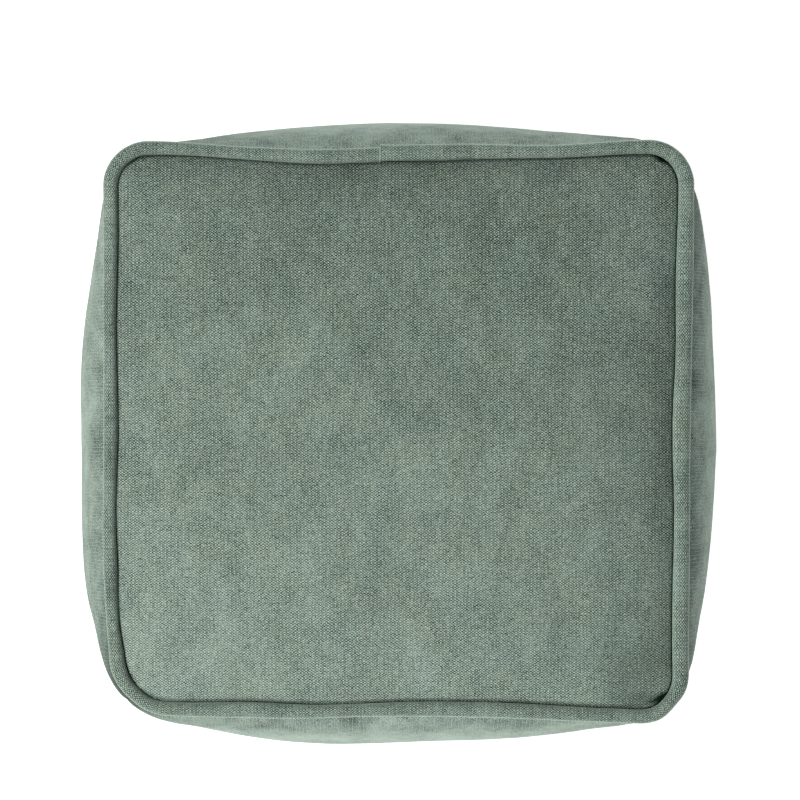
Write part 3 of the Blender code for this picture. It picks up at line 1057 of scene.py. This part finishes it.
def lay_cloth(cage, flat_of):
    """Writes the cloth map: flat_of gives the flat place of each loop's point on its face."""
    cloth = cage.loops.layers.uv.new(CLOTH_MAP)
    for face in cage.faces:
        for loop, place in zip(face.loops, flat_of(face)):
            loop[cloth].uv = place


def flat_on_cube(face):
    """Flat places of a cube face's points, with the side panels next to each other."""
    centre = face.calc_center_median()
    axis = max(range(3), key=lambda a: abs(centre[a]))
    corners = [eased(np.array(loop.vert.co)) for loop in face.loops]
    if axis == 2:
        return [(c[0] * HALF, c[1] * HALF) for c in corners]
    turned = 1 if centre[axis] > 0 else -1
    panel = (2 * axis + turned) * 3 * HALF
    return [(panel + turned * c[1 - axis] * HALF, c[2] * side_height / 2) for c in corners]


cage, cube = gridded_cube(BODY_CELLS)
lay_cloth(cage, flat_on_cube)
placed = on_body(eased(cube), ripple_fields)
move_points(cage, placed)
mark_painted_shade(cage, painted_shade_on_body(eased(cube), placed))
stuffed_sides = finish_piece("stuffed_sides", cage, crushed_velvet)

# %% Make the top cover
TOP_CELLS = 110


def make_cover(name, cells, placed_at, painted_shade_at, material):
    """A square sheet of cloth, with placed_at telling where the points of the square go. It is cut from
    flat cloth, so its threads run straight, whichever way its edge turns."""
    cage = bmesh.new()
    bmesh.ops.create_grid(cage, x_segments=cells, y_segments=cells, size=1.0)
    square = eased(points_of(cage))
    placed = placed_at(square)
    move_points(cage, placed)
    lay_cloth(cage, lambda face: [loop.vert.co.xy for loop in face.loops])
    mark_painted_shade(cage, painted_shade_at(square, placed))
    return finish_piece(name, cage, material)


def on_top_cover(square):
    cube = np.column_stack((square[:, :2], np.ones(len(square))))
    return on_top(square[:, 0], square[:, 1], ripples_at(cube, ripple_fields))


top_cover = make_cover("top_cover", TOP_CELLS, on_top_cover, painted_shade_on_top, velvet_with_painted_gradient)
add_thickness(top_cover, offset=-1.0)

# %% [markdown]
# ## The base
# Nothing shows of the base in the photograph, so it is finished plainly: a square of the same cloth that
# lies flat on the floor and lifts a little towards its seam.

# %% Make the base cover
BASE_CELLS = 40
base_cover = make_cover(
    "base_cover",
    BASE_CELLS,
    lambda square: under_base(square[:, 0], square[:, 1]),
    lambda square, placed: np.zeros(len(square)),
    velvet,
)
add_thickness(base_cover, offset=1.0)

# %% [markdown]
# ## The piping
# Piping is a cord in a folded strip of cloth. Many makers cut the strip on the bias, but the weave in
# the photograph runs along this one, so it was cut straight. Its two ends meet at the middle of the
# back, where one is folded under and lapped over the other. A curve with a round bevel would give a
# plain tube. A grid that is rolled up round the rim gives more: a tongue that reaches into the seam,
# the step of the lapped ends, and the slight kinks and dents of a hand-guided strip. Its marks paint
# shade where it dives in beside the top, and a painted highlight along its outer edge.

# %% Stations along the ring
RING_STEPS = 330  # along each side
JOIN_STATIONS = 60  # more of them at the join
JOIN_ZONE = 0.07  # within this share of half a side, each way from it


def ring_stations():
    """Points of the square's edge, once round it, that crowd at the corners and at the join."""
    along = eased(np.linspace(-1, 1, RING_STEPS + 1))
    join = JOIN_X / HALF
    back = np.union1d(along, join + JOIN_ZONE * np.linspace(-1, 1, JOIN_STATIONS) ** 3)
    x = np.concatenate((back[:-1], np.ones(RING_STEPS), -along[:-1], -np.ones(RING_STEPS)))
    y = np.concatenate((np.ones(len(back) - 1), -along[:-1], -np.ones(RING_STEPS), along[:-1]))
    return np.append(x, x[0]), np.append(y, y[0])


ring_x, ring_y = ring_stations()
print("the ring has", len(ring_x) - 1, "stations")

# %% Middle line of the cord
_, ring_out = outline(ring_x, ring_y, RIM_CORNERS)
ring_plan = rim_line(ring_x, ring_y)
ring_kinks = kinks(ring_plan, "push")
ring_push = join_offset(ring_plan) + ring_kinks
ring_plan = ring_plan + ring_out * ring_push[:, None]
ring_middle = np.column_stack((ring_plan, rim_height(ring_x, ring_y)))
ring_length = np.append(0, np.cumsum(np.linalg.norm(np.diff(ring_middle, axis=0), axis=1)))
print("the piping strip is", round(ring_length[-1], 3), "m long")

# %% Shape of the cord
# Angles round the cord start straight outwards and turn over its top: 90 degrees is up, 180 inwards.
GIRTH_STEPS = 28
TONGUE = 0.0006  # how far the strip reaches towards the seam
TONGUE_ANGLE, TONGUE_SPREAD = math.radians(225), 0.4
INNER_SPREAD = math.radians(55)  # how much of the cord's girth lies on its inner side
LAP_THICKNESS = 0.0009  # the folded end stands up by this much
LAP_LENGTH = 0.011
LAP_EDGE = 0.0012  # the fold itself rises over this length
EASED_IN = 1.05  # the strip is eased round the rim, so that its threads lie this much closer
DENT = 0.00016  # depth of the small dents of a hand-guided strip
DENT_SIZE = 0.009


def lap(place):
    """How much thicker the cord is where one end of the strip lies over the other."""
    past = place[:, 0] - JOIN_X
    lapped = np.clip(past / LAP_EDGE + 0.5, 0, 1) * np.exp(-np.clip(past, 0, None) / LAP_LENGTH)
    return np.where(place[:, 1] > 0, LAP_THICKNESS * lapped, 0.0)


def rolled_up(station, girth):
    """The place on the cord's skin of stations along the ring and angles round it."""
    middle = ring_middle[station]
    tongue = TONGUE * bell(girth - TONGUE_ANGLE, TONGUE_SPREAD)
    inner_side = bell(girth - math.pi, INNER_SPREAD)
    shift = (seam_shift(ring_x, ring_y) + np.minimum(ring_kinks, 0))[station] * inner_side
    straight = np.column_stack((ring_out[station], np.zeros(len(station)))) * np.cos(girth)[:, None]
    straight[:, 2] = np.sin(girth)
    skin = middle + straight * PIPING_RADIUS
    dents = soft_noise(skin, DENT_SIZE, DENT_SEED) * DENT
    radius = PIPING_RADIUS + tongue + shift + lap(middle) + dents
    return middle + straight * radius[:, None]


# %% Painted shade and highlight along the cord
# Where the painted highlight runs along the cord's outer edge, and where the painted shade of its crease
# lies.
EDGE_ANGLE, EDGE_SPREAD = math.radians(14), math.radians(16)  # where the fuzz stands out
CREASE_ANGLE = math.radians(174)  # where the cord meets the top
# Painted shade on each run of the cord where it meets the top and over what angle, under 0 painted
# light, and how strong the painted highlight (fuzz) along its outer edge is.
Run = namedtuple("Run", "crease spread fuzz")
RUNS = {
    "left": Run(crease=0.68, spread=math.radians(36), fuzz=0.72),
    "right": Run(crease=-0.60, spread=math.radians(30), fuzz=1.60),
    "front": Run(crease=0.45, spread=math.radians(18), fuzz=1.10),
    "back": Run(crease=0.90, spread=math.radians(15), fuzz=1.60),
}

Slub = namedtuple("Slub", "x wide light")  # thick places of a thread, across the back run
SLUBS = (
    Slub(x=JOIN_X, wide=0.0004, light=1.10),
    Slub(x=0.0592, wide=0.0007, light=0.25),
    Slub(x=0.0758, wide=0.0006, light=0.25),
)


def painted_shade_on_cord(station, place, girth):
    """Painted shade where the cord lies in the crease, and under 0 painted highlight on its outer edge; its
    slubs are lighter too.
    """
    runs = blend_sides(ring_x, ring_y, lambda side, along: np.array(RUNS[side])[:, None])
    deep, spread, fuzz = runs[:, station]
    crease = deep * bell(girth - CREASE_ANGLE, spread) * pale(place)
    turned = np.minimum(abs(girth - EDGE_ANGLE), 2 * math.pi - abs(girth - EDGE_ANGLE))
    marks = sum(slub.light * bell(place[:, 0] - slub.x, slub.wide) for slub in SLUBS)
    return crease - fuzz * bell(turned, EDGE_SPREAD) - np.where(place[:, 1] > 0, marks, 0.0)


# %% Make the rim piping
cage = bmesh.new()
segments = len(ring_x) - 1
bmesh.ops.create_grid(cage, x_segments=segments, y_segments=GIRTH_STEPS, size=1.0)


def station_of(point):
    """Which station of the ring a point of the grid stands for."""
    return int(round((point.co.x + 1) / 2 * segments))


def girth_of(point):
    """The angle round the cord that it stands for."""
    return (point.co.y + 1) * math.pi


def flat_on_strip(face):
    """Flat places of a face's points: along the strip, and across it round the cord."""
    points = [loop.vert for loop in face.loops]
    return [(ring_length[station_of(p)] * EASED_IN, girth_of(p) * PIPING_RADIUS) for p in points]


lay_cloth(cage, flat_on_strip)
stations = np.array([station_of(point) for point in cage.verts])
girths = np.array([girth_of(point) for point in cage.verts])
placed = rolled_up(stations, girths)
move_points(cage, placed)
mark_painted_shade(cage, painted_shade_on_cord(stations, placed, girths))
bmesh.ops.remove_doubles(cage, verts=cage.verts[:], dist=1e-6)
bmesh.ops.recalc_face_normals(cage, faces=cage.faces[:])
rim_piping = finish_piece("rim_piping", cage, velvet)

# %% [markdown]
# ## Fasten the pieces to the pouf
# The pouf has no moving part, so every piece rides on its one body. Each piece stands for the plain
# solid of the same place, which is hidden.


for piece, node in (
    (stuffed_sides, "filled_body"),
    (top_cover, "top_panel"),
    (base_cover, "base_panel"),
    (rim_piping, "top_piping"),
):
    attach(piece, "root")
    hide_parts(node)
